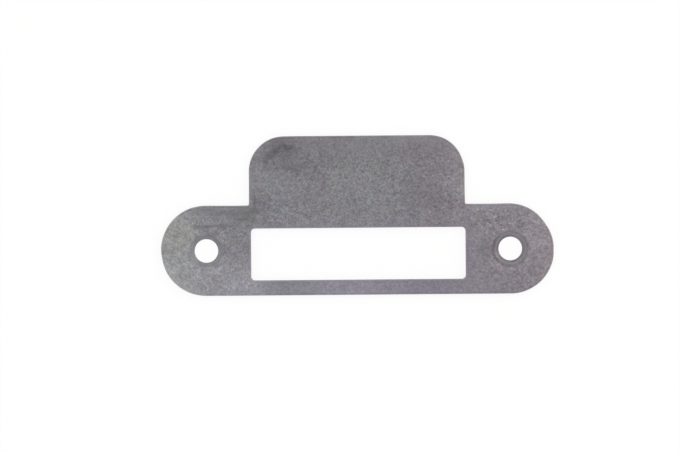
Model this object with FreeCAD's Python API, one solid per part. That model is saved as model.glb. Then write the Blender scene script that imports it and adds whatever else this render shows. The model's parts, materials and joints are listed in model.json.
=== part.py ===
import FreeCAD, Part
import math
import os

# Door strike plate: one flat sheet-steel stamping, screwed to the face of a door frame.
# Sizes are in millimetres and angles in degrees.
# X runs along the plate, +Y towards the lip and +Z out of the face that shows.
# The origin is midway between the two screw holes, on the back face.

# Slot that the latch and the dead bolt go into
slot_length = 60.0
slot_width = 14.5
slot_corner_radius = 1.1

# Metal left round the slot and the screw holes
web_below_slot = 4.2
web_above_slot = 6.4
slot_end_to_hole = 12.5
hole_to_plate_end = 12.3

# Screw holes, countersunk from the front down to a thin straight wall
hole_diameter = 6.6
hole_straight_wall = 0.1
countersink_angle = 90.0

# Lip that carries the latch across the edge of the frame
lip_reach = 19.3
lip_past_slot = 0.1
lip_corner_radius = 10.0
lip_root_radius = 0.4

# Sheet, and the rounding that the press leaves on the edge where it starts to shear
sheet_thickness = 1.5
outline_edge_roll = 0.2
slot_edge_roll = 0.15

# The slot and the holes were pierced this far to the right of the outline's middle
piercing_offset = 0.3

# How far a cutter runs past each face of the sheet
cutter_overrun = 1.0

# Two lengths closer than this count as equal
tolerance = 1e-6

# Sizes that follow from those above
hole_spacing = slot_length + 2 * slot_end_to_hole
plate_length = hole_spacing + 2 * hole_to_plate_end
strap_width = web_below_slot + slot_width + web_above_slot
strap_top = strap_width / 2
strap_bottom = -strap_width / 2
lip_width = slot_length + 2 * lip_past_slot
hole_radius = hole_diameter / 2
countersink_depth = sheet_thickness - hole_straight_wall
countersink_slope = math.tan(math.radians(countersink_angle / 2))
countersink_radius = hole_radius + countersink_depth * countersink_slope


def rounded_face(corners):
    # A flat face from (x, y, radius) corners in order round it, each corner a tangent arc
    points = [FreeCAD.Vector(x, y, 0) for x, y, radius in corners]
    arcs = []
    for index, (x, y, radius) in enumerate(corners):
        corner = points[index]
        back = (points[index - 1] - corner).normalize()
        ahead = (points[(index + 1) % len(points)] - corner).normalize()
        half_angle = back.getAngle(ahead) / 2
        to_tangent = radius / math.tan(half_angle)
        to_centre = radius / math.sin(half_angle)
        inward = (back + ahead).normalize()
        start = corner + back * to_tangent
        middle = corner + inward * (to_centre - radius)
        end = corner + ahead * to_tangent
        arcs.append((start, middle, end))
    edges = []
    for index, (start, middle, end) in enumerate(arcs):
        edges.append(Part.Arc(start, middle, end).toShape())
        next_start = arcs[(index + 1) % len(arcs)][0]
        # Two arcs that meet, as at a full-round end, have no straight between them
        if end.distanceToPoint(next_start) > tolerance:
            edges.append(Part.LineSegment(end, next_start).toShape())
    return Part.Face(Part.Wire(Part.sortEdges(edges)[0]))


def edges_at_height(shape, height):
    # The edges that lie wholly in the plane z = height
    level = []
    for edge in shape.Edges:
        box = edge.BoundBox
        if abs(box.ZMin - height) < tolerance and abs(box.ZMax - height) < tolerance:
            level.append(edge)
    return level


def blank():
    # The strap with its full-round ends and its lip, sheared out in one outline
    middle = -piercing_offset
    left = middle - plate_length / 2
    right = middle + plate_length / 2
    lip_left = middle - lip_width / 2
    lip_right = middle + lip_width / 2
    lip_end = strap_top + lip_reach
    end_radius = strap_width / 2
    lip_radius = min(lip_corner_radius, lip_width / 2, lip_reach - lip_root_radius)
    outline = rounded_face([
        (left, strap_bottom, end_radius),
        (right, strap_bottom, end_radius),
        (right, strap_top, end_radius),
        (lip_right, strap_top, lip_root_radius),
        (lip_right, lip_end, lip_radius),
        (lip_left, lip_end, lip_radius),
        (lip_left, strap_top, lip_root_radius),
        (left, strap_top, end_radius),
    ])
    sheet = outline.extrude(FreeCAD.Vector(0, 0, sheet_thickness))
    # The outline starts to shear at the front face, so its edge is rounded there
    return sheet.makeFillet(outline_edge_roll, edges_at_height(sheet, sheet_thickness))


def slot_slug():
    # The rounded oblong that the punch takes out for the bolts
    side = slot_length / 2
    bottom = strap_bottom + web_below_slot
    top = bottom + slot_width
    radius = min(slot_corner_radius, side, slot_width / 2)
    oblong = rounded_face([
        (-side, bottom, radius),
        (side, bottom, radius),
        (side, top, radius),
        (-side, top, radius),
    ])
    oblong.translate(FreeCAD.Vector(0, 0, -cutter_overrun))
    return oblong.extrude(FreeCAD.Vector(0, 0, sheet_thickness + 2 * cutter_overrun))


def screw_hole(x):
    # A straight hole and the countersink that opens it towards the front face
    start = FreeCAD.Vector(x, 0, -cutter_overrun)
    hole = Part.makeCylinder(hole_radius, sheet_thickness + 2 * cutter_overrun, start)
    cone_foot = FreeCAD.Vector(x, 0, hole_straight_wall)
    cone_height = countersink_depth + cutter_overrun
    cone_radius = hole_radius + cone_height * countersink_slope
    return hole.fuse(Part.makeCone(hole_radius, cone_radius, cone_height, cone_foot))


def strike_plate():
    # The blank, pierced for the bolts and then for the two screws
    slug = slot_slug()
    plate = blank().cut(slug)
    # The slot starts to shear at the back face, so its edge is rounded there
    slot_edges = []
    for edge in edges_at_height(plate, 0):
        if slug.BoundBox.isInside(edge.BoundBox.Center):
            slot_edges.append(edge)
    plate = plate.makeFillet(slot_edge_roll, slot_edges)
    for x in (-hole_spacing / 2, hole_spacing / 2):
        plate = plate.cut(screw_hole(x))
    return plate.Solids[0]


os.makedirs("parts", exist_ok=True)
plate = strike_plate()
plate.exportStep("parts/strike_plate.step")
box = plate.optimalBoundingBox(False, False)
print("Overall", round(box.XLength, 3), round(box.YLength, 3), round(box.ZLength, 3))
print("Valid", plate.isValid(), "with", len(plate.Faces), "faces and", round(plate.Volume, 2), "cubic mm")
print("Holes", hole_spacing, "apart, countersinks", round(2 * countersink_radius, 2), "across")
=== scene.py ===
import bmesh
import bpy
import json
import math
import numpy as np
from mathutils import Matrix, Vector, geometry, kdtree, noise


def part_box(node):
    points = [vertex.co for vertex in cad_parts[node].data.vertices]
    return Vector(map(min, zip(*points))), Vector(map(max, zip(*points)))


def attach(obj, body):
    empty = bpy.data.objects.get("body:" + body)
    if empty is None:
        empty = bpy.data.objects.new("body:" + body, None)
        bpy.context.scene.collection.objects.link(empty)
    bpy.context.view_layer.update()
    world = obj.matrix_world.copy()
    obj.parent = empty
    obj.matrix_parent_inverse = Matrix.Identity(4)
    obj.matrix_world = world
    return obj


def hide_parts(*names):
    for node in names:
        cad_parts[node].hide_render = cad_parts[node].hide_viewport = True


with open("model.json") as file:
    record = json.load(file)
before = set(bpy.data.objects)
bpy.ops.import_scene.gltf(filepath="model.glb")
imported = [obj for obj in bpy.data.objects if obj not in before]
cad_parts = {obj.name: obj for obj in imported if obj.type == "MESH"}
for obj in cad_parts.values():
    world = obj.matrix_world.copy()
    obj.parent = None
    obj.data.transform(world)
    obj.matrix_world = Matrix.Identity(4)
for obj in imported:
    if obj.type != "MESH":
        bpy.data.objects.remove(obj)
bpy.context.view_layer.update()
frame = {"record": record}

# Lengths are in millimetres in the part's own frame and are shrunk to metres at the end: x along the strap,
# y towards the lip, z out of the front face, with the back face at z = 0.
metre = 0.001
lowest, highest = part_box("strike_plate")
screwHoles = frame["record"]["mounts"][0]
holeReach = screwHoles["dims"]["spacing_x_mm"] / 2
holeRadius = screwHoles["dims"]["hole_r_mm"]
sheetThickness = (highest.z - lowest.z) / metre
plateLeft = lowest.x / metre
plateRight = highest.x / metre
strapBottom = lowest.y / metre
lipTop = highest.y / metre
# Blender's noise runs from 0 to 1 but mostly lies between these
noiseLow = 0.3
noiseHigh = 0.7
middleGrey = 0.5  # a ramp's colour for a tone of zero


def hexColour(code):
    # sRGB hex to the linear values that shaders want
    channels = [int(code[i:i + 2], 16) / 255 for i in (1, 3, 5)]
    return [c / 12.92 if c <= 0.04045 else ((c + 0.055) / 1.055) ** 2.4 for c in channels] + [1.0]


def addNode(tree, kind, inputs=None, **settings):
    # One node with its settings; an input is a value, a socket or a node whose first output is meant
    node = tree.nodes.new("ShaderNode" + kind)
    for name, value in settings.items():
        setattr(node, name, value)
    for key, value in (inputs or {}).items():
        if isinstance(value, bpy.types.Node):
            value = value.outputs[0]
        if isinstance(value, bpy.types.NodeSocket):
            tree.links.new(value, node.inputs[key])
        else:
            node.inputs[key].default_value = value
    return node


def newMaterial(name):
    material = bpy.data.materials.new(name)
    material.use_nodes = True
    material.node_tree.nodes.clear()
    return material, material.node_tree


# The stamping: its outline and openings, its cut edges, and how flat the sheet is
stamping = {
    "lipReach": 19.3,
    "lipWidth": 60.2,
    "lipCorner": 10.0,
    "lipRoot": 0.4,
    "slotLength": 60.0,
    "slotWidth": 14.5,
    "slotCorner": 1.1,
    "webBelowSlot": 4.2,
    "countersinkRadius": 4.7,
    # the die was dressed by hand, so its arcs aren't quite true: centre and radius of an arc, then its swells
    # as angle and spread in degrees and how far out in mm
    "dressing": {
        (41.95, 0.0, 12.55): [(-42, 30, 0.25), (-16, 9, 0.07), (-74, 10, 0.05), (36, 14, -0.15),
                              (80, 28, 0.085)],
        (-42.55, 0.0, 12.55): [(112, 42, 0.14), (97, 10, -0.035), (186, 8, -0.05), (195, 13, -0.13),
                               (228, 20, -0.05), (262, 22, -0.04)],
        (19.8, 21.85, 10.0): [(58, 18, 0.09), (20, 10, -0.05), (40, 30, -0.03)],
        (-20.4, 21.85, 10.0): [(125, 25, 0.055), (157, 14, 0.06), (92, 10, -0.045)],
        (30.2, 12.95, 0.4): [(-135, 150, 0.08)],
        (-30.8, 12.95, 0.4): [(-45, 150, 0.08)],
    },
    "swellFade": 3.0,  # mm from its arc over which a swell dies away
    # A press draws the sheet round where its tool enters, wipes the edge smooth for a third of the way and
    # tears it, a little undercut, for the rest. Tumbling has taken the burr off
    "outlineCut": {
        "rollWidth": 0.42,
        "rollDepth": 0.15,
        "wiped": 0.5,
        "undercut": 0.07,
        "ragged": 0.014,
        "cornerBreak": 0.05,
        "seed": 0.0,
    },
    "slotCut": {
        "rollWidth": 0.34,
        "rollDepth": 0.12,
        "wiped": 0.5,
        "undercut": 0.05,
        "ragged": 0.011,
        "cornerBreak": 0.05,
        "seed": 9.0,
    },
    "tearStart": 0.3,  # how torn the edge already is where it stops being wiped
    "gritAlong": 0.7,  # mm between the tear's bumps along the edge and down it
    "gritDown": 0.6,
    # the countersinks are pressed, so the face rolls softly into them
    "countersink": {
        "softness": 0.5,
        "bend": 0.6,  # share of the softness that lies inside the cone
        "straightWall": 0.1,
        "edgeBreak": 0.04,
    },
    # the sheet isn't dead flat: slow waves all over and a few shallow knocks from the barrel
    "waveLength": 17.0,
    "waveDepth": 0.03,
    "waveShare": 0.3,  # lifts the noise, so that more than half of the sheet has waves
    "waveSeeds": {"front": 4.0, "back": 11.0},
    "knocks": [
        {"at": (-20.2, 23.7), "radius": 0.8, "depth": 0.03},
        {"at": (-12.6, 18.2), "radius": 1.3, "depth": 0.018},
        {"at": (8.4, 26.9), "radius": 1.1, "depth": 0.015},
        {"at": (24.6, 20.1), "radius": 1.5, "depth": 0.02},
        {"at": (35.2, 8.9), "radius": 1.2, "depth": 0.018},
        {"at": (49.6, 6.1), "radius": 1.0, "depth": 0.02},
        {"at": (-50.2, -3.3), "radius": 1.4, "depth": 0.018},
        {"at": (-35.0, -8.2), "radius": 1.1, "depth": 0.022},
        {"at": (3.1, -10.4), "radius": 0.9, "depth": 0.014},
    ],
    "knockFall": 2.5,  # how steeply a knock's sides rise
    "knockReach": 2,  # and how many radii out it ends
    # how finely the mesh is divided
    "outlineStep": 0.3,
    "holeStep": 0.22,
    "faceStep": 0.5,
    "faceClear": 0.6,  # share of faceStep that the flat sides' own vertices keep from a cut edge
    "arcSteps": 4,  # the fewest in an arc
    "rollSteps": 6,
    "tornSteps": 5,
    "softSteps": 6,
    "coneSteps": 6,
    "samePoint": 0.01,  # vertices of a loop that are closer than this are one
    "weld": 1e-6,
    "sharpAngle": 38,  # degrees between faces from which an edge shows as sharp
}


# Outline, slot and holes as closed loops of (point, direction into the metal)

def roundedLoop(corners, step, metalInside):
    arcs = []
    for i, (x, y, radius) in enumerate(corners):
        corner = Vector((x, y))
        back = (Vector(corners[i - 1][:2]) - corner).normalized()
        ahead = (Vector(corners[(i + 1) % len(corners)][:2]) - corner).normalized()
        half = back.angle(ahead) / 2
        centre = corner + (back + ahead).normalized() * radius / math.sin(half)
        start = corner + back * radius / math.tan(half)
        sweep = math.pi - 2 * half
        arcs.append((centre, start, radius, sweep if back.cross(ahead) < 0 else -sweep))
    loop = []
    for i, (centre, start, radius, sweep) in enumerate(arcs):
        count = max(stamping["arcSteps"], math.ceil(abs(sweep) * radius / step))
        spoke = start - centre
        for k in range(count + 1):
            turn = sweep * k / count
            arm = Vector((spoke.x * math.cos(turn) - spoke.y * math.sin(turn),
                          spoke.x * math.sin(turn) + spoke.y * math.cos(turn)))
            inward = -arm.normalized() if sweep > 0 else arm.normalized()
            loop.append((centre + arm, inward if metalInside else -inward))
        end, following = loop[-1][0], arcs[(i + 1) % len(arcs)][1]
        count = math.ceil((following - end).length / step)
        for k in range(1, count):
            loop.append((end.lerp(following, k / count), loop[-1][1]))
    # two arcs that meet share a point, which is kept once
    return [spot for i, spot in enumerate(loop) if (spot[0] - loop[i - 1][0]).length > stamping["samePoint"]]


def roundLoop(centre, radius, step):
    count = 4 * math.ceil(math.tau * radius / step / 4)
    spokes = [Vector((math.cos(math.tau * k / count), math.sin(math.tau * k / count))) for k in range(count)]
    return [(centre + spoke * radius, spoke) for spoke in spokes]


def outlineLoop():
    s = stamping
    middle = (plateLeft + plateRight) / 2
    strapTop = lipTop - s["lipReach"]
    endRadius = (strapTop - strapBottom) / 2
    lipLeft, lipRight = middle - s["lipWidth"] / 2, middle + s["lipWidth"] / 2
    loop = roundedLoop([
        (plateLeft, strapBottom, endRadius),
        (plateRight, strapBottom, endRadius),
        (plateRight, strapTop, endRadius),
        (lipRight, strapTop, s["lipRoot"]),
        (lipRight, lipTop, s["lipCorner"]),
        (lipLeft, lipTop, s["lipCorner"]),
        (lipLeft, strapTop, s["lipRoot"]),
        (plateLeft, strapTop, endRadius),
    ], s["outlineStep"], True)
    dressed = []
    for point, metal in loop:
        out = 0.0
        for (x, y, radius), swells in s["dressing"].items():
            arm = point - Vector((x, y))
            share = math.exp(-((arm.length - radius) / s["swellFade"]) ** 2)
            heading = math.degrees(math.atan2(arm.y, arm.x))
            for angle, spread, swell in swells:
                away = (heading - angle + 180) % 360 - 180
                out += share * swell * math.exp(-(away / spread) ** 2)
        spot = point - metal * out
        spot.x = min(max(spot.x, plateLeft), plateRight)
        spot.y = min(max(spot.y, strapBottom), lipTop)
        dressed.append((spot, metal))
    return dressed


def slotLoop():
    s = stamping
    side = s["slotLength"] / 2
    bottom = strapBottom + s["webBelowSlot"]
    top = bottom + s["slotWidth"]
    return roundedLoop([
        (-side, bottom, s["slotCorner"]),
        (side, bottom, s["slotCorner"]),
        (side, top, s["slotCorner"]),
        (-side, top, s["slotCorner"]),
    ], s["outlineStep"], False)


# Cross-sections of the cut edges from the front to the back: how far into the metal, how far down from the
# front face, and how torn (0 to 1)

def shearedSection(cut, rolledInFront):
    rows = []
    for k in range(stamping["rollSteps"] + 1):
        turn = math.radians(90) * k / stamping["rollSteps"]
        rows.append((cut["rollWidth"] * (1 - math.sin(turn)), cut["rollDepth"] * (1 - math.cos(turn)), 0.0))
    wipedEnd = cut["rollDepth"] + cut["wiped"]
    rows.append((0.0, (cut["rollDepth"] + wipedEnd) / 2, 0.0))
    rows.append((0.0, wipedEnd, stamping["tearStart"]))
    tornEnd = sheetThickness - cut["cornerBreak"]
    for k in range(1, stamping["tornSteps"] + 1):
        share = k / stamping["tornSteps"]
        rows.append((cut["undercut"] * math.sqrt(share), wipedEnd + (tornEnd - wipedEnd) * share, 1.0))
    rows.append((cut["undercut"] + cut["cornerBreak"], sheetThickness, 0.0))
    if rolledInFront:
        return rows
    return [(into, sheetThickness - down, torn) for into, down, torn in reversed(rows)]


def countersinkSection():
    cut = stamping["countersink"]
    slope = stamping["countersinkRadius"] - holeRadius
    coneDepth = sheetThickness - cut["straightWall"]
    outside = cut["softness"]
    inside = cut["bend"] * cut["softness"]
    rows = []
    for k in range(stamping["softSteps"] + 1):
        # a quadratic bend from the flat face into the cone
        t = k / stamping["softSteps"]
        rows.append((slope + outside * (1 - t) ** 2 - inside * t ** 2, inside * t ** 2, 0.0))
    startInto, startDown = rows[-1][:2]
    for k in range(1, stamping["coneSteps"] + 1):
        share = k / stamping["coneSteps"]
        rows.append((startInto * (1 - share), startDown + (coneDepth - startDown) * share, 0.0))
    rows.append((0.0, sheetThickness - cut["edgeBreak"], 0.0))
    rows.append((cut["edgeBreak"], sheetThickness, 0.0))
    return rows


def sag(x, y, seed):
    # How far a side of the sheet lies inside a dead flat one here
    wave = noise.noise(Vector((x / stamping["waveLength"], y / stamping["waveLength"], seed)))
    return stamping["waveDepth"] * max(0.0, stamping["waveShare"] + wave) ** 2


def knocked(x, y):
    depth = 0.0
    for knock in stamping["knocks"]:
        away = math.hypot(x - knock["at"][0], y - knock["at"][1]) / knock["radius"]
        if away < stamping["knockReach"]:
            depth += knock["depth"] * math.exp(-stamping["knockFall"] * away * away)
    return depth


class PlateMesh:
    # Collects the vertices and faces of the one closed surface
    def __init__(self):
        self.points = []
        self.torn = []
        self.faces = []
        self.finishes = []

    def addPoint(self, x, y, down, torn=0.0):
        back = down / sheetThickness
        seeds = stamping["waveSeeds"]
        height = sheetThickness - down
        height -= (sag(x, y, seeds["front"]) + knocked(x, y)) * (1 - back)
        height += sag(x, y, seeds["back"]) * back
        self.points.append((x, y, height))
        self.torn.append(torn)
        return len(self.points) - 1

    def addWall(self, loop, section, cut, finish):
        # Rings of vertices down the cut edge, joined by quads. Returns the first and the last ring
        along, below = stamping["gritAlong"], stamping["gritDown"]
        rings = []
        for into, down, torn in section:
            ring = []
            for point, metal in loop:
                ragged = 0.0
                if torn:
                    level = cut["seed"] + down / below
                    grit = noise.noise(Vector((point.x / along, point.y / along, level)))
                    ragged = cut["ragged"] * torn * (0.5 + 0.5 * grit)
                spot = point + metal * (into + ragged)
                ring.append(self.addPoint(spot.x, spot.y, down, torn))
            rings.append(ring)
        for upper, lower in zip(rings, rings[1:]):
            for i in range(len(loop)):
                self.faces.append((upper[i], upper[i - 1], lower[i - 1], lower[i]))
                self.finishes.append(finish)
        return rings[0], rings[-1]

    def addFace(self, rings, down):
        # A flat side between the rings: the first is its rim, the others its openings
        flat, owners, borders = [], [], []
        for ring in rings:
            first = len(flat)
            for i, index in enumerate(ring):
                flat.append(Vector(self.points[index][:2]))
                owners.append(index)
                borders.append((first + i, first + (i + 1) % len(ring)))
        near = kdtree.KDTree(len(flat))
        for i, spot in enumerate(flat):
            near.insert((spot.x, spot.y, 0), i)
        near.balance()
        outlines = [np.array([self.points[i][:2] for i in ring]) for ring in rings]
        for x, y in faceLattice(outlines):
            if near.find((x, y, 0))[2] > stamping["faceClear"] * stamping["faceStep"]:
                flat.append(Vector((x, y)))
                owners.append(self.addPoint(x, y, down))
        spots, _, triangles, sources, _, _ = geometry.delaunay_2d_cdt(flat, borders, [], 0, stamping["weld"])
        middles = np.array([[sum(spots[i][axis] for i in t) / 3 for axis in (0, 1)] for t in triangles])
        for triangle, keep in zip(triangles, insideMetal(middles, outlines)):
            if keep:
                self.faces.append(tuple(owners[sources[i][0]] for i in triangle))
                self.finishes.append("face")


def insideLoop(spots, loop):
    # Even-odd test of many spots at once
    x, y = spots[:, 0], spots[:, 1]
    crossings = np.zeros(len(spots), int)
    for (ax, ay), (bx, by) in zip(loop, np.roll(loop, -1, axis=0)):
        spans = (ay > y) != (by > y)
        if spans.any():
            crossings[spans] += x[spans] < ax + (y[spans] - ay) / (by - ay) * (bx - ax)
    return crossings % 2 == 1


def insideMetal(spots, outlines):
    inside = insideLoop(spots, outlines[0])
    for opening in outlines[1:]:
        inside &= ~insideLoop(spots, opening)
    return inside


def faceLattice(outlines):
    # Triangular lattice of spots that fall on the metal
    step = stamping["faceStep"]
    rowStep = step * math.sqrt(3) / 2
    spots = []
    for row in range(math.ceil((lipTop - strapBottom) / rowStep)):
        y = strapBottom + row * rowStep
        for column in range(math.ceil((plateRight - plateLeft) / step)):
            spots.append((plateLeft + (column + 0.5 * (row % 2)) * step, y))
    spots = np.array(spots)
    return spots[insideMetal(spots, outlines)]


def buildPlate(materials):
    mesh = PlateMesh()
    outline, slot = outlineLoop(), slotLoop()
    outlineCut, slotCut = stamping["outlineCut"], stamping["slotCut"]
    rims = [
        mesh.addWall(outline, shearedSection(outlineCut, True), outlineCut, "sheared"),
        mesh.addWall(slot, shearedSection(slotCut, False), slotCut, "sheared"),
    ]
    for side in (-1, 1):
        hole = roundLoop(Vector((side * holeReach, 0)), holeRadius, stamping["holeStep"])
        rims.append(mesh.addWall(hole, countersinkSection(), stamping["countersink"], "countersunk"))
    mesh.addFace([front for front, back in rims], 0.0)
    mesh.addFace([back for front, back in rims], sheetThickness)

    data = bpy.data.meshes.new("stampedPlate")
    data.from_pydata([Vector(p) * metre for p in mesh.points], [], mesh.faces)
    order = list(materials)
    for name in order:
        data.materials.append(materials[name])
    data.polygons.foreach_set("material_index", [order.index(f) for f in mesh.finishes])
    torn = data.attributes.new("torn", "FLOAT", "POINT")
    torn.data.foreach_set("value", mesh.torn)

    # how far every vertex is from the outline and from the slot, in mm, for what gathers or wears along edges
    for name, loop in (("toOutline", outline), ("toSlot", slot)):
        near = kdtree.KDTree(len(loop))
        for i, (point, metal) in enumerate(loop):
            near.insert((point.x, point.y, 0), i)
        near.balance()
        distance = data.attributes.new(name, "FLOAT", "POINT")
        distance.data.foreach_set("value", [near.find((x, y, 0))[2] for x, y, z in mesh.points])

    shaped = bmesh.new()
    shaped.from_mesh(data)
    bmesh.ops.recalc_face_normals(shaped, faces=shaped.faces)
    shaped.to_mesh(data)
    shaped.free()
    data.shade_smooth()
    data.set_sharp_from_angle(angle=math.radians(stamping["sharpAngle"]))
    plate = bpy.data.objects.new("stamped_plate", data)
    bpy.context.scene.collection.objects.link(plate)
    return plate


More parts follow.
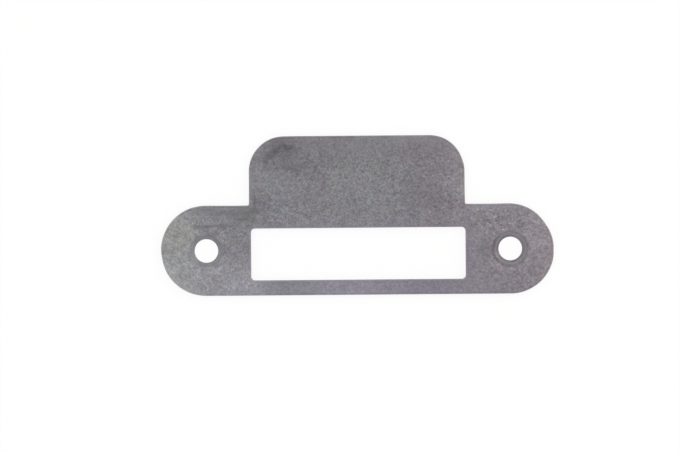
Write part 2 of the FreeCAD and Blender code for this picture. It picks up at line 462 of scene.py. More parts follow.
# Zinc-plated steel, barrel-plated and tumbled: a dull satin grey, with a speckle from the fine crystals. The
# passivation drifts from straw through grey to mauve, bluer along the lower edge, and handling has smeared
# it. Painted light lies in that drift too, lighter at the left end and darker to the right. Sizes are in mm,
# and tones are lighter above zero and darker below.
zinc = {
    "bumpDepth": 0.015,
    "roughness": 0.5,
    "roughnessSwing": 0.06,
    "countersinkRoughness": 0.45,
    # colour along x, above the slot and along the lower edge, and the y where one starts to turn into the
    # other and where it has. Both carry the passivation's tint and painted light, lighter at the left end
    "drift": {-55: "#8c8c8c", -46: "#88888b", -38: "#838388", -32: "#7f7e81", -24: "#7b797e", -10: "#777579",
              5: "#79787b", 14: "#777479", 22: "#767277", 27: "#7e797f", 33: "#7f7c7f", 42: "#7f7b7f",
              48: "#837f83", 55: "#898386"},
    "driftLow": {-55: "#8b8b8b", -42: "#88878c", -30: "#8a888e", -22: "#7f7d84", -5: "#827f89", 10: "#807d87",
                 19: "#7c7883", 33: "#7f7a82", 45: "#7f7a80", 55: "#868085"},
    "lowFrom": 13.0,
    "lowTo": -10.5,
    "wander": 25.0,  # how far noise from 0 to 1 pushes the drift about
    "plainTone": 0.98,
    # grain, each with its size and its tone: clouds and patches left by the bath, stains with a share for
    # each channel, crystals, their finer grain, and their facets, each with a tone, gloss and tilt of its
    # own. Real crystals are much finer, and these are as coarse as they need to be to show
    "cloud": 12.0,
    "cloudTone": 0.05,
    "patch": 1.9,
    "patchTone": 0.09,
    "stain": 3.2,
    "stainTone": 0.1,
    "crystal": 0.6,
    "crystalTone": 0.3,
    "fine": 0.17,
    "fineTone": 0.1,
    "facet": 0.3,
    "facetTone": 0.12,
    "facetGloss": 0.08,
    # the few crystals that happen to face the light: the noise at which one starts and is at its brightest,
    # and the patches that hold most of them
    "glint": 0.36,
    "glintTone": 0.34,
    "glintNoise": (0.64, 0.73),
    "glintPatch": (0.42, 0.62),
    "glintElsewhere": 0.2,
    # hairline scratches by direction in degrees, and the noise at which one starts and is at its clearest
    "scratches": {14: 0.1, 77: 0.08, 143: 0.08},
    "scratchSize": (4.0, 0.09, 1.0),
    "scratchNoise": (0.66, 0.74),
    "scratchDepth": 3.0,  # against the crystals' height
    # wiped streaks along the strap, which show where a mark is darker than the first tone and are clear at
    # the second. The speckle fades with the marks in the same way
    "streak": (7.0, 0.45, 1.0),
    "streakTone": 0.07,
    "streakMark": (-0.04, -0.2),
    "streakElsewhere": 0.1,
    "speckleMark": (-0.06, -0.3),
    "speckleInMark": 0.2,
    # size is half the width and half the height, and tint is what red, green and blue get on top of the tone
    "marks": [
        # lip's left corner: a smear that follows the curve
        {"at": (-22.6, 27.0), "size": (9.5, 6.5), "turn": 30, "tone": -0.17},
        {"at": (-24.2, 27.0), "size": (3.3, 1.5), "turn": 37, "tone": -0.2},
        {"at": (-20.6, 28.4), "size": (4.6, 2.0), "turn": 12, "tone": -0.13},
        {"at": (-19.0, 28.8), "size": (2.2, 1.2), "turn": 5, "tone": -0.15},
        {"at": (-21.5, 30.8), "size": (5.0, 1.8), "tone": -0.07},
        {"at": (-23.5, 24.2), "size": (3.0, 2.2), "turn": 20, "tone": 0.08},
        {"at": (-17.0, 23.1), "size": (7.0, 1.6), "tone": -0.1},
        {"at": (-27.3, 27.6), "size": (2.2, 2.2), "tone": 0.05},
        {"at": (-22.3, 22.8), "size": (1.1, 2.4), "tone": -0.06},
        {"at": (-15.0, 24.0), "size": (11.0, 8.0), "tone": -0.05},
        {"at": (-12.0, 20.8), "size": (2.6, 2.4), "tone": -0.08},
        # corner between lip and strap, and along the strap
        {"at": (-29.1, 13.9), "size": (1.1, 3.6), "tone": -0.16, "tint": (0.03, 0.0, -0.01),
         "edge": "line"},
        {"at": (-27.0, 12.7), "size": (4.0, 4.6), "tone": -0.13},
        {"at": (-30.2, 9.9), "size": (3.4, 2.8), "turn": 30, "tone": -0.15, "tint": (0.0, -0.01, -0.01)},
        {"at": (-37.0, 11.6), "size": (5.0, 1.4), "tone": 0.06, "tint": (0.01, -0.01, 0.01)},
        {"at": (-46.0, 11.2), "size": (4.5, 1.8), "turn": 15, "tone": -0.09, "tint": (0.01, -0.02, 0.0)},
        {"at": (-24.0, 7.8), "size": (7.0, 2.5), "tone": -0.02},
        {"at": (-27.6, 7.2), "size": (2.4, 1.3), "tone": -0.1},
        {"at": (-32.2, 7.7), "size": (2.4, 1.6), "turn": 35, "tone": -0.08, "tint": (0.015, 0.005, -0.03)},
        {"at": (-33.0, 10.2), "size": (3.6, 2.0), "tone": -0.1},
        {"at": (-38.0, 11.3), "size": (10.5, 3.0), "turn": 2, "tone": -0.14},
        {"at": (-39.5, 6.9), "size": (7.5, 0.7), "turn": 1, "tone": -0.2, "edge": "line"},
        {"at": (-35.2, 8.2), "size": (4.4, 2.2), "tone": -0.08},
        {"at": (-43.6, 6.9), "size": (3.6, 0.9), "tone": -0.11, "edge": "line"},
        {"at": (-36.5, 8.5), "size": (14.0, 6.5), "tone": -0.08},
        # beside the screw holes
        {"at": (-33.8, 0.6), "size": (6.0, 6.5), "tone": -0.15},
        {"at": (-31.7, -2.5), "size": (1.8, 5.5), "tone": 0.05},
        {"at": (-41.2, 5.0), "size": (4.6, 1.8), "turn": -15, "tone": -0.1, "tint": (0.01, -0.015, 0.0)},
        {"at": (-46.4, -1.8), "size": (1.1, 3.2), "turn": 20, "tone": -0.12},
        {"at": (-47.8, 0.2), "size": (1.2, 4.0), "tone": 0.09},
        {"at": (-42.5, -5.3), "size": (4.5, 1.1), "tone": 0.05},
        {"at": (36.3, -0.3), "size": (4.5, 4.0), "tone": -0.13, "tint": (-0.01, 0.0, 0.01)},
        {"at": (35.5, 4.6), "size": (8.0, 3.6), "tone": 0.06},
        {"at": (35.7, 8.3), "size": (1.4, 1.0), "tone": -0.13},
        {"at": (38.9, 8.0), "size": (1.0, 1.1), "tone": -0.13},
        {"at": (45.3, 7.1), "size": (1.0, 1.4), "tone": -0.13},
        # duller spots
        {"at": (13.0, 18.0), "size": (2.0, 7.0), "tone": -0.06},
        {"at": (26.2, 13.4), "size": (3.0, 2.6), "tone": -0.1},
        {"at": (50.3, -6.3), "size": (2.0, 4.0), "tone": -0.09},
        # rubbed lighter
        {"at": (28.6, 18.0), "size": (3.0, 14.0), "tone": 0.05},
        {"at": (29.6, 20.0), "size": (1.0, 11.0), "tone": 0.03, "tint": (0.02, 0.01, -0.03)},
        {"at": (3.0, 9.2), "size": (42.0, 5.0), "tone": 0.03},
        {"at": (22.5, 8.0), "size": (10.0, 3.5), "tone": 0.09},
        {"at": (3.0, 18.0), "size": (30.0, 9.5), "tone": 0.05, "tint": (0.0, 0.012, 0.0)},
        {"at": (24.0, 27.0), "size": (7.0, 7.0), "tone": 0.1},
        {"at": (15.5, 30.9), "size": (10.0, 2.2), "tone": 0.12},
        {"at": (-12.0, 30.8), "size": (9.5, 2.2), "tone": -0.025, "tint": (0.0, -0.03, 0.0)},
        {"at": (0.0, 27.9), "size": (9.0, 2.0), "tone": 0.06},
        {"at": (-7.0, 23.5), "size": (2.5, 9.0), "tone": 0.06},
        {"at": (19.5, 10.6), "size": (4.5, 2.4), "tone": 0.07},
        {"at": (32.0, 11.3), "size": (3.0, 1.8), "tone": 0.1},
        {"at": (45.8, -7.5), "size": (1.8, 7.0), "tone": 0.08},
        {"at": (-52.6, -5.5), "size": (1.6, 6.0), "turn": 25, "tone": 0.12},
        {"at": (-46.6, -11.3), "size": (5.5, 1.6), "turn": -20, "tone": 0.1},
        {"at": (-7.0, -10.4), "size": (17.0, 4.5), "tone": 0.09},
        {"at": (-31.5, -9.5), "size": (8.5, 5.0), "tone": 0.09},
        {"at": (-49.0, -7.0), "size": (9.0, 8.0), "tone": 0.085},
        {"at": (49.5, 5.0), "size": (6.0, 8.0), "tone": 0.1, "tint": (0.01, -0.01, 0.015)},
        {"at": (38.5, 12.2), "size": (11.0, 2.2), "tone": 0.1, "tint": (-0.015, 0.0, 0.02)},
        # the passivation's colour pooled here
        {"at": (47.5, -8.5), "size": (6.5, 4.5), "tone": 0, "tint": (0.0, -0.025, 0.0)},
        {"at": (-51.0, 4.5), "size": (7.0, 8.5), "tone": 0.02, "tint": (0.0, 0.008, -0.024)},
        {"at": (52.5, -3.0), "size": (4.5, 10.0), "turn": -10, "tone": 0.02, "tint": (0.012, -0.006, -0.003)},
        {"at": (-21.5, 12.5), "size": (9.0, 6.0), "tone": 0, "tint": (-0.012, 0.0, 0.018)},
        {"at": (-20.5, 19.5), "size": (9.0, 4.0), "tone": 0.02, "tint": (0.0, 0.01, -0.012)},
        {"at": (-25.5, 18.5), "size": (4.0, 6.0), "tone": 0.01, "tint": (0.0, 0.025, 0.0)},
        {"at": (31.0, -3.0), "size": (1.6, 10.0), "tone": -0.02, "tint": (-0.01, -0.012, 0.045)},
        {"at": (41.5, 6.5), "size": (9.0, 5.0), "tone": 0, "tint": (0.006, -0.01, 0.012)},
        {"at": (-6.0, 18.5), "size": (4.5, 9.5), "tone": 0, "tint": (0.0, 0.02, -0.003)},
    ],
    "markEdge": {"smear": 3.2, "line": 0.8},  # how far noise from 0 to 1 pushes their outlines about
    "markGrain": 2.5,  # size of that noise
    "markCore": 0.7,  # share of the way to its middle at which a mark is at its strongest
    "markDepth": 1.0,  # into the sheet, so that it stays on the front
    # where the face was rubbed, and how much of the speckle is left there; above 1 there is more of it
    "rubbed": [
        {"at": (3.0, -10.5), "size": (50.0, 8.0), "keep": 0.5},
        {"at": (0.0, 31.5), "size": (70.0, 7.0), "keep": 0.58},
        {"at": (-30.0, 22.0), "size": (5.0, 14.0), "keep": 0.7},
        {"at": (31.0, -1.0), "size": (7.0, 15.0), "keep": 0.68},
        {"at": (-40.0, 11.8), "size": (16.0, 3.6), "keep": 0.6},
        {"at": (40.0, 9.0), "size": (12.0, 5.0), "keep": 1.25},
        {"at": (-44.0, -2.0), "size": (26.0, 26.0), "keep": 0.88},
        {"at": (-22.0, 27.5), "size": (12.0, 8.0), "keep": 0.8},
        {"at": (51.0, 0.0), "size": (9.0, 15.0), "keep": 0.88},
    ],
    "rubbedDepth": 50.0,  # so deep that the back is rubbed too
    # nicks where the barrel's load struck, painted bright as glints: a painted highlight on each
    "glintingNicks": [(40.3, 5.3), (27.0, 15.5), (-19.1, 14.8), (35.8, 4.5), (-38.6, -4.9), (18.6, 20.3),
              (-48.6, -3.5), (20.0, 10.5), (46.5, 3.9), (11.9, 17.3), (-41.1, -6.0), (-35.0, -10.3),
              (47.6, 9.2), (33.4, 11.0), (-34.0, -9.3), (-32.3, -8.6), (-31.2, -10.2), (-36.2, -10.7),
              (-30.6, -9.1)],
    "glintingNickSize": (0.55, 0.4, 0.5),
    "glintingNickTone": 0.49,
    "glintingNickTurn": 37,  # degrees for each mm along x, so that each lies its own way
    # painted light and shade round the two countersinks: a painted highlight on the cone and painted shade
    # rings round its rim, tone by radius
    "paintedRingReach": (3.0, 8.0),  # radii that the ramps run between
    "paintedRingLeft": {3.3: 0.16, 3.9: 0.13, 4.2: 0.13, 4.5: 0.06, 4.8: -0.02, 5.1: -0.06, 5.5: -0.02, 6.0: 0.02,
                 7.0: 0.0},
    "paintedRingRight": {3.3: 0.08, 3.8: 0.08, 4.15: 0.42, 4.4: 0.2, 4.65: -0.16, 4.9: -0.24, 5.1: -0.1, 5.5: 0.08,
                  6.0: 0.06, 7.0: 0.0},
    # the painted light and shade is stronger at the lower left: the share by which it is stronger there and
    # weaker opposite, how much the side counts against the height, and how far out that share is reached
    "paintedRingOffSquare": 0.4,
    "paintedRingLean": 0.5,
    "paintedRingSpan": 7.0,
    "paintedRingHeight": (0.05, 0.3),  # they fade out between these heights, down at the back
    # tone by distance from a cut edge: polished by tumbling and painted bright as the rolled edge's
    # highlight, then a painted shade line and a painted lighter band, the rolled edge's shading
    "rimReach": 2.0,  # distance that the ramps run to
    "outlineRimWearAndShade": {0.1: 0.1, 0.26: 0.1, 0.38: -0.14, 0.48: -0.13, 0.6: 0.0, 0.7: 0.065, 0.85: 0.06, 1.0: 0.02,
                   1.25: -0.01, 1.5: 0.0},
    "slotRimWearAndShade": {0.0: 0.22, 0.25: 0.24, 0.38: -0.02, 0.5: -0.06, 0.62: -0.02, 0.75: 0.01, 0.95: 0.01,
                1.3: 0.0},
    "rimRagged": 0.12,  # share of its distance that the border of the wear and the painted shading is pushed about
    # share of the speckle that is left at an edge and in a countersink, and where it has come back
    "rimGrain": 0.5,
    "rimGrainReach": (0.3, 1.3),
    "countersinkGrain": 0.4,
    "countersinkGrainReach": (4.6, 5.3),
}


def setStops(node, stops, first, last):
    # A ramp's stops from values between first and last, each with a hex colour or a tone
    ramp = node.color_ramp
    while len(ramp.elements) < len(stops):
        ramp.elements.new(0.5)
    for element, (value, look) in zip(ramp.elements, stops.items()):
        element.position = (value - first) / (last - first)
        element.color = hexColour(look) if isinstance(look, str) else [middleGrey + look] * 3 + [1.0]


def driftingColour(tree, x, y, cloud):
    # the passivation's tint along x, with painted light: lighter at the left end and darker to the right
    pushed = addNode(tree, "Math", {0: cloud, 1: zinc["wander"], 2: x}, operation="MULTIPLY_ADD")
    along = addNode(tree, "MapRange", {0: pushed, 1: plateLeft + zinc["wander"] / 2,
                                       2: plateRight + zinc["wander"] / 2})
    upper = addNode(tree, "ValToRGB", {0: along})
    setStops(upper, zinc["drift"], plateLeft, plateRight)
    lower = addNode(tree, "ValToRGB", {0: along})
    setStops(lower, zinc["driftLow"], plateLeft, plateRight)
    low = addNode(tree, "MapRange", {0: y, 1: zinc["lowFrom"], 2: zinc["lowTo"]})
    return addNode(tree, "Mix", {0: low, 6: upper, 7: lower}, data_type="RGBA").outputs[2]


def markTone(tree, mm):
    # What the marks on the front add to all colours and to each, their outlines broken up by noise
    ragged = addNode(tree, "TexNoise", {"Vector": mm, "Scale": 1 / zinc["markGrain"], "Detail": 2.0})
    warped = {}
    for edge, push in zinc["markEdge"].items():
        warped[edge] = addNode(tree, "VectorMath", {0: ragged.outputs["Color"], 1: (push, push, 0), 2: mm},
                               operation="MULTIPLY_ADD")
    tone = None
    tint = None
    for mark in zinc["marks"]:
        edge = mark.get("edge", "smear")
        offset = zinc["markEdge"][edge] / 2
        x, y = mark["at"]
        spot = addNode(tree, "Mapping", {
            "Vector": warped[edge], "Location": (x + offset, y + offset, sheetThickness),
            "Rotation": (0, 0, math.radians(mark.get("turn", 0))),
            "Scale": (*mark["size"], zinc["markDepth"])}, vector_type="TEXTURE")
        blob = addNode(tree, "TexGradient", {0: spot}, gradient_type="SPHERICAL")
        soft = addNode(tree, "MapRange", {0: blob.outputs[1], 2: zinc["markCore"]},
                       interpolation_type="SMOOTHSTEP")
        tone = addNode(tree, "Math", {0: soft, 1: mark["tone"], 2: tone or 0.0}, operation="MULTIPLY_ADD")
        if "tint" in mark:
            tint = addNode(tree, "VectorMath", {0: soft, 1: mark["tint"], 2: tint or (0.0, 0.0, 0.0)},
                           operation="MULTIPLY_ADD")
    return tone, tint


def speckleLeft(tree, mm):
    # The share of the speckle that rubbing has left
    left = None
    for zone in zinc["rubbed"]:
        spot = addNode(tree, "Mapping", {"Vector": mm, "Location": (*zone["at"], sheetThickness),
                                         "Scale": (*zone["size"], zinc["rubbedDepth"])},
                       vector_type="TEXTURE")
        blob = addNode(tree, "TexGradient", {0: spot}, gradient_type="SPHERICAL")
        share = addNode(tree, "MapRange", {0: blob.outputs[1], 2: zinc["markCore"], 3: 1.0, 4: zone["keep"]},
                        interpolation_type="SMOOTHSTEP")
        left = addNode(tree, "Math", {0: share, 1: left or 1.0}, operation="MULTIPLY")
    return left


def glintingNickTone(tree, mm):
    # a painted highlight on each nick, so that it shows as a bright glint
    tone = None
    for at in zinc["glintingNicks"]:
        turn = math.radians(zinc["glintingNickTurn"] * at[0])
        spot = addNode(tree, "Mapping", {"Vector": mm, "Location": (*at, sheetThickness),
                                         "Rotation": (0, 0, turn), "Scale": zinc["glintingNickSize"]},
                       vector_type="TEXTURE")
        blob = addNode(tree, "TexGradient", {0: spot}, gradient_type="SPHERICAL")
        tone = addNode(tree, "Math", {0: blob.outputs[1], 1: zinc["glintingNickTone"], 2: tone or 0.0},
                       operation="MULTIPLY_ADD")
    return tone


def scratchTone(tree, mm):
    tone = None
    start, clear = zinc["scratchNoise"]
    for turn, strength in zinc["scratches"].items():
        lay = addNode(tree, "Mapping", {"Vector": mm, "Rotation": (0, 0, math.radians(turn)),
                                        "Scale": zinc["scratchSize"]}, vector_type="TEXTURE")
        line = addNode(tree, "TexNoise", {"Vector": lay, "Scale": 1.0, "Detail": 0.0})
        line = addNode(tree, "MapRange", {0: line, 1: start, 2: clear, 4: strength})
        tone = addNode(tree, "Math", {0: line, 1: tone or 0.0})
    return tone


def paintedRingLightAndShade(tree, x, y):
    # How far it is to the nearer hole's middle, and the painted light and shade of the rings there
    fromMiddle = addNode(tree, "Math", {0: x}, operation="ABSOLUTE")
    outward = addNode(tree, "Math", {0: fromMiddle, 1: holeReach}, operation="SUBTRACT")
    side = addNode(tree, "Math", {0: x}, operation="SIGN")
    across = addNode(tree, "Math", {0: outward, 1: side}, operation="MULTIPLY")
    spoke = addNode(tree, "CombineXYZ", {0: across, 1: y})
    radius = addNode(tree, "VectorMath", {0: spoke}, operation="LENGTH").outputs["Value"]
    inner, outer = zinc["paintedRingReach"]
    reach = addNode(tree, "MapRange", {0: radius, 1: inner, 2: outer})
    left = addNode(tree, "ValToRGB", {0: reach})
    setStops(left, zinc["paintedRingLeft"], inner, outer)
    right = addNode(tree, "ValToRGB", {0: reach})
    setStops(right, zinc["paintedRingRight"], inner, outer)
    ring = addNode(tree, "Mix", {0: side, 6: left, 7: right}, data_type="RGBA").outputs[2]
    tone = addNode(tree, "Math", {0: ring, 1: middleGrey}, operation="SUBTRACT")
    corner = addNode(tree, "Math", {0: across, 1: zinc["paintedRingLean"], 2: y}, operation="MULTIPLY_ADD")
    stronger = addNode(tree, "MapRange", {0: corner, 1: -zinc["paintedRingSpan"], 2: zinc["paintedRingSpan"],
                                          3: 1 + zinc["paintedRingOffSquare"], 4: 1 - zinc["paintedRingOffSquare"]})
    return radius, addNode(tree, "Math", {0: tone, 1: stronger}, operation="MULTIPLY")


def rimWearAndPaintedShade(tree, toOutline, toSlot, wander):
    # polish along the cut edges together with the painted highlight and painted shade of the rolled edge
    tone = None
    for distance, stops in ((toOutline, zinc["outlineRimWearAndShade"]), (toSlot, zinc["slotRimWearAndShade"])):
        # pushed about only where it is some way in, so that the very edge keeps its polish and painted
        # highlight
        pushed = addNode(tree, "Math", {0: wander, 1: distance, 2: distance}, operation="MULTIPLY_ADD")
        reach = addNode(tree, "MapRange", {0: pushed, 2: zinc["rimReach"]})
        rim = addNode(tree, "ValToRGB", {0: reach})
        setStops(rim, stops, 0.0, zinc["rimReach"])
        level = addNode(tree, "Math", {0: rim, 1: middleGrey}, operation="SUBTRACT")
        tone = addNode(tree, "Math", {0: level, 1: tone or 0.0})
    return tone


def inMillimetres(tree):
    place = addNode(tree, "TexCoord").outputs["Object"]
    return addNode(tree, "Mapping", {"Vector": place, "Scale": [1 / metre] * 3})


def tumbledZinc(tree, mm):
    # The plating's colour, the height of its crystals and its roughness, which all the surfaces share
    z = zinc
    xyz = addNode(tree, "SeparateXYZ", {0: mm})
    x, y = xyz.outputs[0], xyz.outputs[1]
    cloud = addNode(tree, "TexNoise", {"Vector": mm, "Scale": 1 / z["cloud"], "Detail": 3.0})
    toOutline = addNode(tree, "Attribute", attribute_name="toOutline").outputs["Fac"]
    toSlot = addNode(tree, "Attribute", attribute_name="toSlot").outputs["Fac"]
    depth, tint = markTone(tree, mm)
    radius, ring = paintedRingLightAndShade(tree, x, y)
    # the painted light and shade rings are kept to the front and fade out towards the back
    lower, upper = z["paintedRingHeight"]
    pressed = addNode(tree, "MapRange", {0: xyz.outputs[2], 1: lower, 2: upper})
    ring = addNode(tree, "Math", {0: ring, 1: pressed}, operation="MULTIPLY")

    # speckle: crystals a little lighter and darker, and in some patches a few that glint
    crystal = addNode(tree, "TexNoise", {"Vector": mm, "Scale": 1 / z["crystal"], "Detail": 2.5,
                                         "Roughness": 0.6})
    speckle = addNode(tree, "MapRange", {0: crystal, 1: noiseLow, 2: noiseHigh, 3: -z["crystalTone"],
                                         4: z["crystalTone"]}, clamp=False)
    patch = addNode(tree, "TexNoise", {"Vector": mm, "Scale": 1 / z["patch"], "Detail": 1.0})
    glint = addNode(tree, "TexNoise", {"Vector": mm, "Scale": 1 / z["glint"], "Detail": 0.0})
    start, clear = z["glintNoise"]
    glintTone = addNode(tree, "MapRange", {0: glint, 1: start, 2: clear, 4: z["glintTone"]})
    start, clear = z["glintPatch"]
    glintShare = addNode(tree, "MapRange", {0: patch, 1: start, 2: clear, 3: z["glintElsewhere"]})
    speckle = addNode(tree, "Math", {0: glintTone, 1: glintShare, 2: speckle}, operation="MULTIPLY_ADD")
    facet = addNode(tree, "TexVoronoi", {"Vector": mm, "Scale": 1 / z["facet"]})
    facetDice = addNode(tree, "SeparateXYZ", {0: facet.outputs["Color"]})
    facetTone = addNode(tree, "MapRange", {0: facetDice.outputs[0], 3: -z["facetTone"], 4: z["facetTone"]})
    speckle = addNode(tree, "Math", {0: speckle, 1: facetTone})
    fine = addNode(tree, "TexNoise", {"Vector": mm, "Scale": 1 / z["fine"], "Detail": 1.0})
    fineTone = addNode(tree, "MapRange", {0: fine, 1: noiseLow, 2: noiseHigh, 3: -z["fineTone"],
                                          4: z["fineTone"]})
    speckle = addNode(tree, "Math", {0: speckle, 1: fineTone})

    # smears and worn edges hide it
    start, clear = z["speckleMark"]
    bare = addNode(tree, "MapRange", {0: depth, 1: clear, 2: start, 3: z["speckleInMark"], 4: 1.0})
    left = speckleLeft(tree, mm)
    bare = addNode(tree, "Math", {0: bare, 1: left}, operation="MULTIPLY")
    nearest = addNode(tree, "Math", {0: toOutline, 1: toSlot}, operation="MINIMUM")
    start, clear = z["rimGrainReach"]
    inland = addNode(tree, "MapRange", {0: nearest, 1: start, 2: clear, 3: z["rimGrain"], 4: 1.0})
    bare = addNode(tree, "Math", {0: bare, 1: inland}, operation="MULTIPLY")
    start, clear = z["countersinkGrainReach"]
    aside = addNode(tree, "MapRange", {0: radius, 1: start, 2: clear, 3: z["countersinkGrain"], 4: 1.0})
    bare = addNode(tree, "Math", {0: bare, 1: aside}, operation="MULTIPLY")
    tone = addNode(tree, "Math", {0: speckle, 1: bare, 2: z["plainTone"]}, operation="MULTIPLY_ADD")

    # wiped streaks along the strap show in the smears
    wiped = addNode(tree, "Mapping", {"Vector": mm, "Scale": z["streak"]}, vector_type="TEXTURE")
    streak = addNode(tree, "TexNoise", {"Vector": wiped, "Scale": 1.0, "Detail": 1.0})
    streakTone = addNode(tree, "MapRange", {0: streak, 1: noiseLow, 2: noiseHigh, 3: -z["streakTone"],
                                            4: z["streakTone"]})
    start, clear = z["streakMark"]
    covered = addNode(tree, "MapRange", {0: depth, 1: start, 2: clear, 3: z["streakElsewhere"], 4: 1.0})
    rubbed = addNode(tree, "Math", {0: 1.0, 1: left}, operation="SUBTRACT")
    covered = addNode(tree, "Math", {0: covered, 1: rubbed}, operation="MAXIMUM")
    tone = addNode(tree, "Math", {0: streakTone, 1: covered, 2: tone}, operation="MULTIPLY_ADD")

    patchTone = addNode(tree, "MapRange", {0: patch, 1: noiseLow, 2: noiseHigh, 3: -z["patchTone"],
                                           4: z["patchTone"]})
    tone = addNode(tree, "Math", {0: tone, 1: patchTone})
    cloudTone = addNode(tree, "MapRange", {0: cloud, 1: noiseLow, 2: noiseHigh, 3: -z["cloudTone"],
                                           4: z["cloudTone"]})
    tone = addNode(tree, "Math", {0: tone, 1: cloudTone})
    wander = addNode(tree, "MapRange", {0: patch, 1: noiseLow, 2: noiseHigh, 3: -z["rimRagged"],
                                        4: z["rimRagged"]})
    scratches = scratchTone(tree, mm)
    for part in (depth, scratches, glintingNickTone(tree, mm), ring, rimWearAndPaintedShade(tree, toOutline, toSlot, wander)):
        tone = addNode(tree, "Math", {0: tone, 1: part})
    height = addNode(tree, "Math", {0: fine, 1: crystal})
    height = addNode(tree, "Math", {0: facetDice.outputs[2], 1: facet.outputs["Distance"], 2: height},
                     operation="MULTIPLY_ADD")
    height = addNode(tree, "Math", {0: scratches, 1: -z["scratchDepth"], 2: height},
                     operation="MULTIPLY_ADD")

    # faint stains give each channel its own share
    stain = addNode(tree, "TexNoise", {"Vector": mm, "Scale": 1 / z["stain"], "Detail": 3.0})
    gain = addNode(tree, "VectorMath", {0: stain.outputs["Color"], 1: [z["stainTone"]] * 3,
                                        2: [-z["stainTone"] / 2] * 3}, operation="MULTIPLY_ADD")
    gain = addNode(tree, "VectorMath", {0: gain, 1: tint})
    gain = addNode(tree, "VectorMath", {0: gain, 1: tone})
    colour = driftingColour(tree, x, y, cloud)
    toned = addNode(tree, "VectorMath", {0: colour, 1: gain}, operation="MULTIPLY")
    rough = addNode(tree, "MapRange", {0: patch, 1: noiseLow, 2: noiseHigh,
                                       3: z["roughness"] - z["roughnessSwing"],
                                       4: z["roughness"] + z["roughnessSwing"]})
    facetGloss = addNode(tree, "MapRange", {0: facetDice.outputs[1], 3: -z["facetGloss"],
                                            4: z["facetGloss"]})
    rough = addNode(tree, "Math", {0: rough, 1: facetGloss})
    return toned, height, rough


def finish(material, tree, colour, height, rough):
    bump = addNode(tree, "Bump", {"Height": height, "Distance": zinc["bumpDepth"] * metre})
    shader = addNode(tree, "BsdfPrincipled", {"Base Color": colour, "Metallic": 1.0, "Roughness": rough,
                                              "Normal": bump})
    addNode(tree, "OutputMaterial", {0: shader})
    return material


def zincPlatedFace():
    # The flat sides, dull satin from the tumbling, with all the speckle, smears and wear
    material, tree = newMaterial("zinc-plated steel, tumbled")
    colour, height, rough = tumbledZinc(tree, inMillimetres(tree))
    return finish(material, tree, colour, height, rough)


# The sheared edge under the same plating: brighter and smoother where the tool wiped it, dull and gritty
# where it tore
shear = {
    "dragSize": (0.2, 0.2, 3.0),
    "grit": 0.22,
    "tone": 0.12,
    "wipedTone": 1.04,
    "tornTone": 0.86,
    "wipedRoughness": 0.38,
    "tornRoughness": 0.66,
    "depth": 2.0,  # against the crystals' height
}


def zincPlatedShear():
    material, tree = newMaterial("zinc-plated steel, sheared edge")
    mm = inMillimetres(tree)
    colour, height, _ = tumbledZinc(tree, mm)
    torn = addNode(tree, "Attribute", attribute_name="torn").outputs["Fac"]
    # the punch drags lines down the wiped part, and the torn part is gritty
    drag = addNode(tree, "Mapping", {"Vector": mm, "Scale": shear["dragSize"]}, vector_type="TEXTURE")
    lines = addNode(tree, "TexNoise", {"Vector": drag, "Scale": 1.0, "Detail": 1.0})
    grit = addNode(tree, "TexNoise", {"Vector": mm, "Scale": 1 / shear["grit"], "Detail": 2.0})
    surface = addNode(tree, "Mix", {0: torn, 2: lines, 3: grit})
    streaks = addNode(tree, "MapRange", {0: surface, 1: noiseLow, 2: noiseHigh, 3: -shear["tone"],
                                         4: shear["tone"]})
    level = addNode(tree, "MapRange", {0: torn, 3: shear["wipedTone"], 4: shear["tornTone"]})
    gain = addNode(tree, "Math", {0: streaks, 1: level})
    toned = addNode(tree, "VectorMath", {0: colour, "Scale": gain}, operation="SCALE")
    rough = addNode(tree, "MapRange", {0: torn, 3: shear["wipedRoughness"], 4: shear["tornRoughness"]})
    raised = addNode(tree, "Math", {0: surface, 1: shear["depth"], 2: height}, operation="MULTIPLY_ADD")
    return finish(material, tree, toned, raised, rough)


def zincPlatedCountersink():
    # The countersinks, pressed smooth before the plating: a little glossier than the flat sides
    material, tree = newMaterial("zinc-plated steel, countersink")
    colour, height, _ = tumbledZinc(tree, inMillimetres(tree))
    return finish(material, tree, colour, height, zinc["countersinkRoughness"])


# A white card under the plate, white all round, a soft lamp overhead and a warm one on the right
studio = {
    "floorSize": 4.0,
    "floorDrop": 0.02,  # mm below the back face, so that the two don't flicker
    "floorGlow": 0.85,  # share of the card that shows as plain white whatever falls on it
    "worldStrength": 0.87,  # as a light; where it is looked at it is plain white
    "lamps": [
        {"name": "overhead softbox", "at": (-0.15, 0.25, 1.1), "size": 0.9, "watts": 1.2,
         "colour": "#ffffff"},
        {"name": "right softbox", "at": (0.9, 0.35, 0.5), "size": 0.5, "watts": 1.6,
         "colour": "#fff1e2"},
    ],
}


def seenShare(tree):
    # 1 where the background is looked at, directly or in a reflection, and 0 where it only lights something
    ray = addNode(tree, "LightPath")
    seen = addNode(tree, "Math", {0: ray.outputs["Is Camera Ray"], 1: ray.outputs["Is Glossy Ray"]},
                   operation="MAXIMUM")
    return addNode(tree, "Math", {0: seen, 1: ray.outputs["Is Transmission Ray"]}, operation="MAXIMUM")


def whiteCard():
    # Matt white card that shows as plain white, with the plate's shadow left on it. It is clear from below,
    # so that the plate's back can be looked at
    material, tree = newMaterial("matt white card")
    matt = addNode(tree, "BsdfDiffuse", {"Color": (1, 1, 1, 1)})
    glow = addNode(tree, "Emission", {"Color": (1, 1, 1, 1), "Strength": 1.0})
    share = addNode(tree, "Math", {0: seenShare(tree), 1: studio["floorGlow"]}, operation="MULTIPLY")
    mixed = addNode(tree, "MixShader", {0: share, 1: matt, 2: glow})
    clear = addNode(tree, "BsdfTransparent")
    fromBelow = addNode(tree, "NewGeometry").outputs["Backfacing"]
    sided = addNode(tree, "MixShader", {0: fromBelow, 1: mixed, 2: clear})
    addNode(tree, "OutputMaterial", {0: sided})
    return material


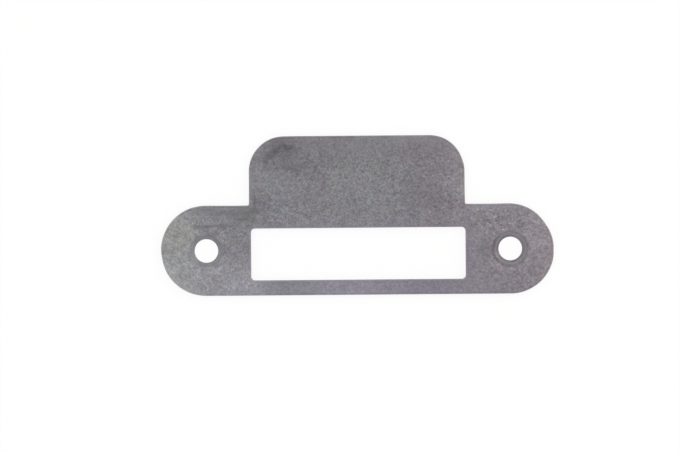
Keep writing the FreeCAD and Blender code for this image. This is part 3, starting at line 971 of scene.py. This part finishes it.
def buildStudio():
    floor = bpy.data.meshes.new("floor")
    half = studio["floorSize"] / 2
    corners = [(-half, -half), (half, -half), (half, half), (-half, half)]
    floor.from_pydata([(x, y, -studio["floorDrop"] * metre) for x, y in corners], [], [(0, 1, 2, 3)])
    floor.materials.append(whiteCard())
    floorObject = bpy.data.objects.new("floor", floor)
    bpy.context.scene.collection.objects.link(floorObject)

    world = bpy.data.worlds.new("studio")
    world.use_nodes = True
    tree = world.node_tree
    background = tree.nodes["Background"]
    background.inputs["Color"].default_value = (1, 1, 1, 1)
    strength = addNode(tree, "MapRange", {0: seenShare(tree), 3: studio["worldStrength"]})
    tree.links.new(strength.outputs[0], background.inputs["Strength"])
    bpy.context.scene.world = world

    for lamp in studio["lamps"]:
        light = bpy.data.lights.new(lamp["name"], "AREA")
        light.size = lamp["size"]
        light.energy = lamp["watts"]
        light.color = hexColour(lamp["colour"])[:3]
        holder = bpy.data.objects.new(lamp["name"], light)
        holder.location = lamp["at"]
        holder.rotation_euler = (-Vector(lamp["at"])).to_track_quat("-Z", "Y").to_euler()
        bpy.context.scene.collection.objects.link(holder)


# Looks straight down from above, turned half a degree, a little left of and above the plate's middle
viewpoint = {
    "lens": 100.0,
    "sensor": 36.0,
    "over": (-5.08, 6.68),
    "height": 528.55,
    "turn": -0.47,
}


def addCamera():
    lens = bpy.data.cameras.new("camera")
    lens.lens = viewpoint["lens"]
    lens.sensor_width = viewpoint["sensor"]
    camera = bpy.data.objects.new("camera", lens)
    camera.location = Vector((*viewpoint["over"], viewpoint["height"])) * metre
    camera.rotation_euler = (0, 0, math.radians(viewpoint["turn"]))
    bpy.context.scene.collection.objects.link(camera)
    bpy.context.scene.camera = camera


addCamera()
buildStudio()
print("Studio and camera are in place")

materials = {
    "face": zincPlatedFace(),
    "sheared": zincPlatedShear(),
    "countersunk": zincPlatedCountersink(),
}
print("Materials are made for the", ", ".join(materials), "surfaces")

plate = buildPlate(materials)
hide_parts("strike_plate")
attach(plate, "root")
print("Plate is built with", sum(len(p.vertices) - 2 for p in plate.data.polygons), "triangles")

bpy.context.scene.view_settings.view_transform = "Standard"
